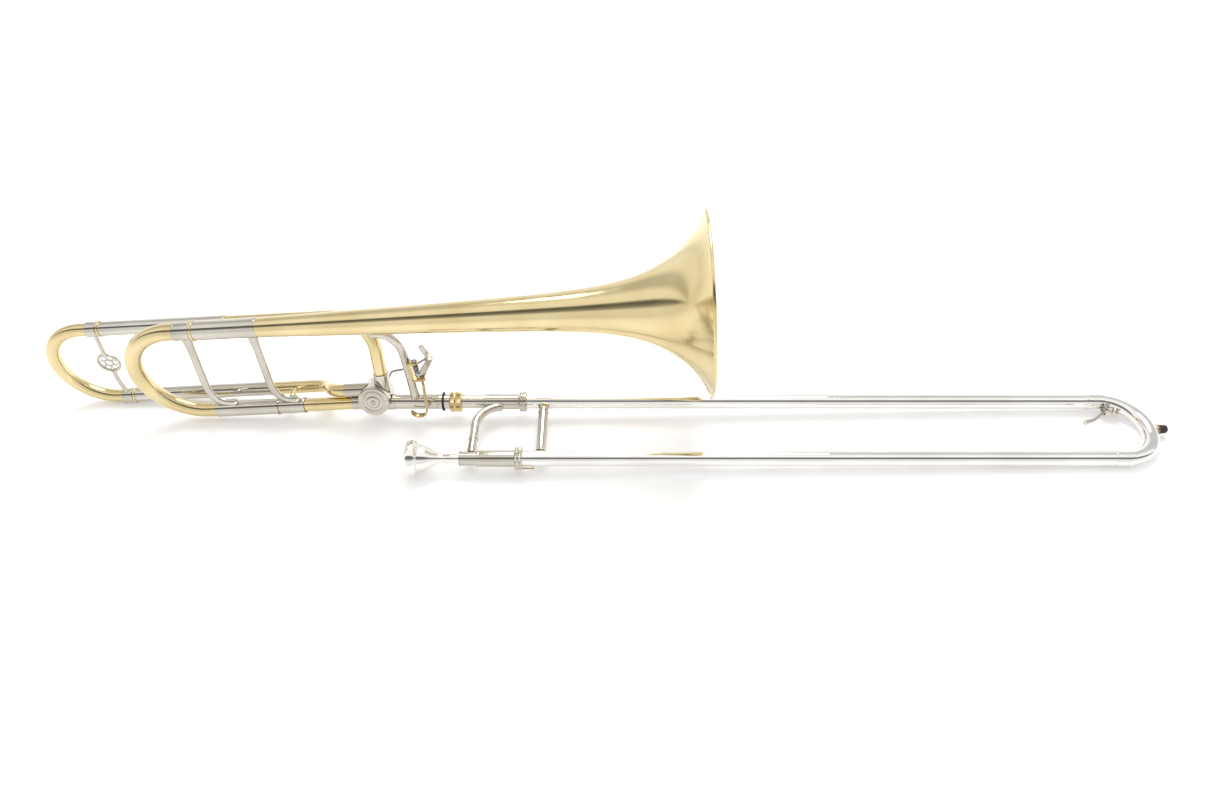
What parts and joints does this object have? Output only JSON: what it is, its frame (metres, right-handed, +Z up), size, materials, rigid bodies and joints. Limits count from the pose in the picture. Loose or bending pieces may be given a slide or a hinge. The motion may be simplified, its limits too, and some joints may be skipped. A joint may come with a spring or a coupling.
{
  "type": "tenor trombone with F attachment",
  "caption": "Tenor slide trombone with an open-wrap thumb-valve attachment, hand slide, tuning slides, mouthpiece and flared bell.",
  "frame": {"origin": "middle of the footprint, on the surface that the trombone lies on", "axes": "+Z up, +X towards the bell mouth and the slide bow, +Y from the lower slide tube towards the bell"},
  "size_m": [1.1985, 0.1899, 0.2476],
  "materials": {
    "lacquered_brass": "clear gold lacquer, polished",
    "bare_brass": "turned raw brass",
    "nickel_silver": "polished nickel silver",
    "chrome_plate": "bright chrome plate",
    "silver_plate": "bright silver plate",
    "steel": "ground steel",
    "black_rubber": "matt black rubber",
    "felt": "dense felt"
  },
  "bodies": {
    "bell_section": {"bell": "lacquered_brass", "bell_rim_wire": "bare_brass", "bell_tail_ferrule": "nickel_silver", "upper_outer_leg": "nickel_silver", "leg_end_rings": "lacquered_brass", "lower_inner_leg": "nickel_silver", "lower_leg_ferrule": "nickel_silver", "lower_leg_tube": "lacquered_brass", "fixed_tuning_brace": "nickel_silver", "valve_casing": "nickel_silver", "valve_cap": "nickel_silver", "valve_bearing_plate": "nickel_silver", "stop_plate": "nickel_silver", "stop_bumpers": "black_rubber", "valve_knuckles": "nickel_silver", "gooseneck": "nickel_silver", "bell_receiver": "nickel_silver", "receiver_o_ring": "black_rubber", "front_bell_brace": "nickel_silver", "lever_saddle": "bare_brass", "lever_axle": "steel", "lever_spring": "steel", "f_upper_tube": "lacquered_brass", "f_upper_outer_leg": "nickel_silver", "f_lower_outer_leg": "nickel_silver", "f_lower_tube": "lacquered_brass", "f_loop_stay": "lacquered_brass"},
    "main_tuning_slide": {"main_crook": "lacquered_brass", "crook_ferrule": "nickel_silver", "upper_inner_leg": "nickel_silver", "lower_outer_leg": "nickel_silver", "sliding_tuning_brace": "nickel_silver"},
    "f_tuning_slide": {"f_crook": "lacquered_brass", "f_crook_ferrules": "nickel_silver", "f_inner_legs": "nickel_silver", "f_slide_brace": "nickel_silver"},
    "valve_rotor": {"rotor": "bare_brass", "stop_arm": "nickel_silver"},
    "thumb_lever": {"thumb_lever": "nickel_silver"},
    "linkage_rod": {"linkage_rod": "steel"},
    "lock_nut": {"lock_nut": "bare_brass"},
    "inner_slide": {"slide_tenon": "nickel_silver", "upper_inner_tube": "chrome_plate", "lower_inner_tube": "chrome_plate", "leadpipe": "lacquered_brass", "mouthpiece_receiver": "nickel_silver", "upper_cork_barrel": "nickel_silver", "lower_cork_barrel": "nickel_silver", "barrel_felts": "felt", "inner_slide_brace": "nickel_silver"},
    "slide_lock": {"slide_lock_ring": "nickel_silver"},
    "outer_slide": {"upper_outer_tube": "chrome_plate", "lower_outer_tube": "chrome_plate", "slide_bow": "nickel_silver", "hand_brace": "nickel_silver", "bow_bumper": "black_rubber", "water_key_mount": "nickel_silver", "water_key_spring": "steel"},
    "water_key": {"water_key_lever": "nickel_silver"},
    "mouthpiece": {"mouthpiece": "silver_plate"}
  },
  "joints": [
    {"name": "slide_swivel", "type": "hinge", "parent": "bell_section", "child": "inner_slide", "pos_m": [-0.1602, 0.0063, 0.02185], "axis": [0.9999, 0, -0.0148], "range_deg": [-30, 40]},
    {"name": "lock_nut_turn", "type": "hinge", "parent": "inner_slide", "child": "lock_nut", "pos_m": [-0.1572, 0.0063, 0.0218], "axis": [0.9999, 0, -0.0148], "range_deg": [0, 720]},
    {"name": "hand_slide", "type": "slide", "parent": "inner_slide", "child": "outer_slide", "axis": [0.9999, 0, -0.0148], "range_m": [0, 0.58]},
    {"name": "slide_lock_turn", "type": "hinge", "parent": "inner_slide", "child": "slide_lock", "pos_m": [-0.08425, -0.07565, 0.01773], "axis": [0.9999, 0, -0.0148], "range_deg": [-40, 0]},
    {"name": "water_key_press", "type": "hinge", "parent": "outer_slide", "child": "water_key", "pos_m": [0.54566, -0.00684, 0.0109], "axis": [-0.0148, 0.0365, -0.9992], "range_deg": [0, 22], "stiffness_Nm_per_rad": 0.03, "springref_deg": -11.46},
    {"name": "mouthpiece_pull", "type": "slide", "parent": "inner_slide", "child": "mouthpiece", "axis": [-0.9999, 0, 0.0148], "range_m": [0, 0.04]},
    {"name": "main_tuning_pull", "type": "slide", "parent": "bell_section", "child": "main_tuning_slide", "axis": [-0.9986, 0.0024, -0.0519], "range_m": [0, 0.04]},
    {"name": "f_tuning_pull", "type": "slide", "parent": "bell_section", "child": "f_tuning_slide", "axis": [-0.9986, 0.0024, -0.0519], "range_m": [0, 0.1]},
    {"name": "thumb_lever_press", "type": "hinge", "parent": "bell_section", "child": "thumb_lever", "pos_m": [-0.1914, 0.00268, 0.06666], "axis": [-0.052, -0.0364, 0.998], "range_deg": [0, 32], "stiffness_Nm_per_rad": 0.12, "springref_deg": -17.19},
    {"name": "linkage_swing", "type": "hinge", "parent": "thumb_lever", "child": "linkage_rod", "pos_m": [-0.18471, 0.02576, 0.06665], "axis": [-0.052, -0.0364, 0.998], "range_deg": [-32, 0]},
    {"name": "rotor_turn", "type": "hinge", "parent": "bell_section", "child": "valve_rotor", "pos_m": [-0.24257, 0.0083, 0.03049], "axis": [-0.0159, -0.9656, 0.2595], "range_deg": [0, 90]}
  ],
  "couplings": [
    {"joint": "linkage_swing", "follows": "thumb_lever_press", "ratio": -1},
    {"joint": "rotor_turn", "follows": "thumb_lever_press", "ratio": 2.8125}
  ]
}
